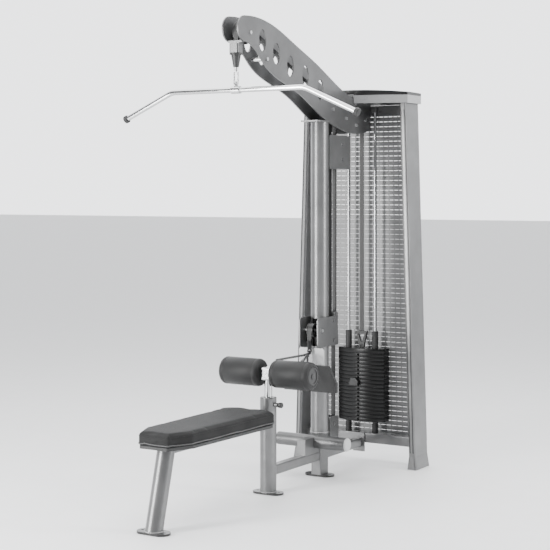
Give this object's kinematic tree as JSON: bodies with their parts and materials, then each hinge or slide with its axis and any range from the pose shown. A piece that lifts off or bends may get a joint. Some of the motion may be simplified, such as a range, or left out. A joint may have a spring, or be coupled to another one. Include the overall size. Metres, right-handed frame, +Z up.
{
  "type": "lat pulldown machine",
  "caption": "Selectorised lat pulldown with low row: bench, thigh rollers, round column, curved twin-plate arm, weight tower, flat belts on pulleys and a drooping bar.",
  "frame": {"origin": "floor level, under the main column's axis, at the centre of its two anchor holes", "axes": "+X to the right of a user who faces the weight tower; +Y from the bench to the tower; +Z up"},
  "size_m": [1.3726, 2.107, 2.397],
  "materials": {
    "silver_paint": "satin silver-grey powder coat",
    "arm_paint": "satin grey powder coat",
    "dark_paint": "satin dark grey powder coat",
    "panel_paint": "light grey perforated sheet",
    "chrome": "polished",
    "zinc": "zinc plated",
    "black_iron": "satin black paint",
    "vinyl": "dark grey upholstery vinyl",
    "foam": "dark foam with a vinyl skin",
    "rubber": "matt",
    "black_plastic": "fine texture",
    "nylon": "moulded pulley",
    "light_plastic": "light grey",
    "board": "plywood, covered below"
  },
  "bodies": {
    "frame": {"arm_plate_left": "arm_paint", "arm_plate_right": "arm_paint", "belt_stop_block": "silver_paint", "bench_rail": "silver_paint", "column_foot_stub": "silver_paint", "column_side_plates": "silver_paint", "cross_bolts": "zinc", "foot_bar": "silver_paint", "foot_bar_caps": "light_plastic", "foot_plates": "dark_paint", "foot_rests": "rubber", "footplate_bracket": "silver_paint", "front_leg": "silver_paint", "guide_rods": "chrome", "lat_belt": "rubber", "lower_plates": "black_iron", "main_column": "silver_paint", "rear_panel": "panel_paint", "rear_seat_post": "silver_paint", "row_belt": "rubber", "seat_board": "board", "seat_pad": "vinyl", "seat_rail": "silver_paint", "stack_buffers": "rubber", "tower_base_beam": "silver_paint", "tower_cap": "silver_paint", "tower_post_left": "silver_paint", "tower_post_right": "silver_paint", "tower_rail": "silver_paint", "tower_top_beam": "silver_paint"},
    "lat_stopper": {"belt_stopper": "black_plastic", "lat_belt_drop": "rubber"},
    "lat_bar": {"snap_hook": "zinc", "lat_bar": "chrome", "bar_end_caps": "rubber"},
    "weight_stack": {"lifted_plates": "black_iron", "head_plate": "black_iron", "rod_sleeves": "rubber", "belt_clamp": "black_iron", "stack_belt": "rubber"},
    "selector_pin": {"selector_pin": "black_iron"},
    "tip_pulley": {"tip_pulley": "nylon"},
    "column_pulley": {"column_pulley": "nylon"},
    "stack_front_pulley": {"stack_front_pulley": "nylon"},
    "stack_rear_pulley": {"stack_rear_pulley": "nylon"},
    "floating_block": {"floating_block": "silver_paint", "block_belt": "rubber", "row_belt_tail": "rubber"},
    "block_pulley": {"block_pulley": "nylon"},
    "row_pulley": {"row_pulley": "nylon"},
    "bottom_pulley": {"bottom_pulley": "nylon"},
    "row_hook": {"row_hook": "black_iron", "row_belt_drop": "rubber"},
    "row_handle": {"row_handle_frame": "dark_paint", "row_handle_grips": "rubber"},
    "thigh_post": {"thigh_post": "chrome", "roller_end_caps": "black_plastic"},
    "roller_left": {"roller_left": "foam"},
    "roller_right": {"roller_right": "foam"},
    "height_pin": {"height_pin": "black_plastic"}
  },
  "joints": [
    {"name": "lat_bar_pull", "type": "slide", "parent": "frame", "child": "lat_stopper", "axis": [0, 0, -1], "range_m": [0, 0.9], "deforming": ["lat_belt_drop"]},
    {"name": "lat_bar_swivel", "type": "hinge", "parent": "lat_stopper", "child": "lat_bar", "pos_m": [0, -0.83, 2.15], "axis": [0, 0, 1], "range_deg": [-180, 180]},
    {"name": "stack_lift", "type": "slide", "parent": "frame", "child": "weight_stack", "axis": [0, 0, 1], "range_m": [0, 0.9], "deforming": ["stack_belt"]},
    {"name": "selector_pin_pull", "type": "slide", "parent": "weight_stack", "child": "selector_pin", "axis": [0, -1, 0], "range_m": [0, 0.06]},
    {"name": "row_pull", "type": "slide", "parent": "frame", "child": "row_hook", "axis": [0, -0.6428, 0.766], "range_m": [0, 0.35], "deforming": ["row_belt_drop"]},
    {"name": "floating_block_travel", "type": "slide", "parent": "frame", "child": "floating_block", "axis": [0, 0, -1], "range_m": [0, 0.35], "deforming": ["block_belt", "row_belt_tail"]},
    {"name": "row_handle_swing", "type": "hinge", "parent": "row_hook", "child": "row_handle", "pos_m": [0, -0.112, 0.672], "axis": [-1, 0, 0], "range_deg": [0, 25]},
    {"name": "thigh_pad_height", "type": "slide", "parent": "frame", "child": "thigh_post", "axis": [0, 0, 1], "range_m": [-0.03, 0.08]},
    {"name": "roller_left_spin", "type": "hinge", "parent": "thigh_post", "child": "roller_left", "pos_m": [-0.15, -0.53, 0.61], "axis": [1, 0, 0], "continuous": true},
    {"name": "roller_right_spin", "type": "hinge", "parent": "thigh_post", "child": "roller_right", "pos_m": [0.15, -0.53, 0.61], "axis": [1, 0, 0], "continuous": true},
    {"name": "height_pin_pull", "type": "slide", "parent": "frame", "child": "height_pin", "axis": [1, 0, 0], "range_m": [0, 0.012], "stiffness_N_per_m": 400},
    {"name": "tip_pulley_spin", "type": "hinge", "parent": "frame", "child": "tip_pulley", "pos_m": [0, -0.775, 2.315], "axis": [1, 0, 0], "range_deg": [0, 937.7]},
    {"name": "column_pulley_spin", "type": "hinge", "parent": "frame", "child": "column_pulley", "pos_m": [0, 0.0625, 1.978], "axis": [1, 0, 0], "range_deg": [0, 1074.4]},
    {"name": "stack_front_pulley_spin", "type": "hinge", "parent": "frame", "child": "stack_front_pulley", "pos_m": [0, 0.2115, 1.935], "axis": [1, 0, 0], "range_deg": [0, 1074.4]},
    {"name": "stack_rear_pulley_spin", "type": "hinge", "parent": "frame", "child": "stack_rear_pulley", "pos_m": [0, 0.439, 1.935], "axis": [1, 0, 0], "range_deg": [0, 1074.4]},
    {"name": "block_pulley_spin", "type": "hinge", "parent": "floating_block", "child": "block_pulley", "pos_m": [0, 0.137, 0.85], "axis": [1, 0, 0], "range_deg": [-1946, 0]},
    {"name": "row_pulley_spin", "type": "hinge", "parent": "frame", "child": "row_pulley", "pos_m": [0, -0.078, 0.79], "axis": [1, 0, 0], "range_deg": [0, 590]},
    {"name": "bottom_pulley_spin", "type": "hinge", "parent": "frame", "child": "bottom_pulley", "pos_m": [0, 0.108, 0.262], "axis": [1, 0, 0], "range_deg": [-477.6, 0]}
  ],
  "couplings": [
    {"joint": "stack_lift", "follows": "lat_bar_pull", "ratio": 1},
    {"joint": "floating_block_travel", "follows": "row_pull", "ratio": 1},
    {"joint": "tip_pulley_spin", "follows": "lat_bar_pull", "rad_per_m": 18.182},
    {"joint": "column_pulley_spin", "follows": "lat_bar_pull", "rad_per_m": 20.833},
    {"joint": "stack_front_pulley_spin", "follows": "lat_bar_pull", "rad_per_m": 20.833},
    {"joint": "stack_rear_pulley_spin", "follows": "lat_bar_pull", "rad_per_m": 20.833},
    {"joint": "block_pulley_spin", "follows": "lat_bar_pull", "rad_per_m": -37.736},
    {"joint": "row_pulley_spin", "follows": "row_pull", "rad_per_m": 29.412},
    {"joint": "bottom_pulley_spin", "follows": "row_pull", "rad_per_m": -23.809}
  ]
}
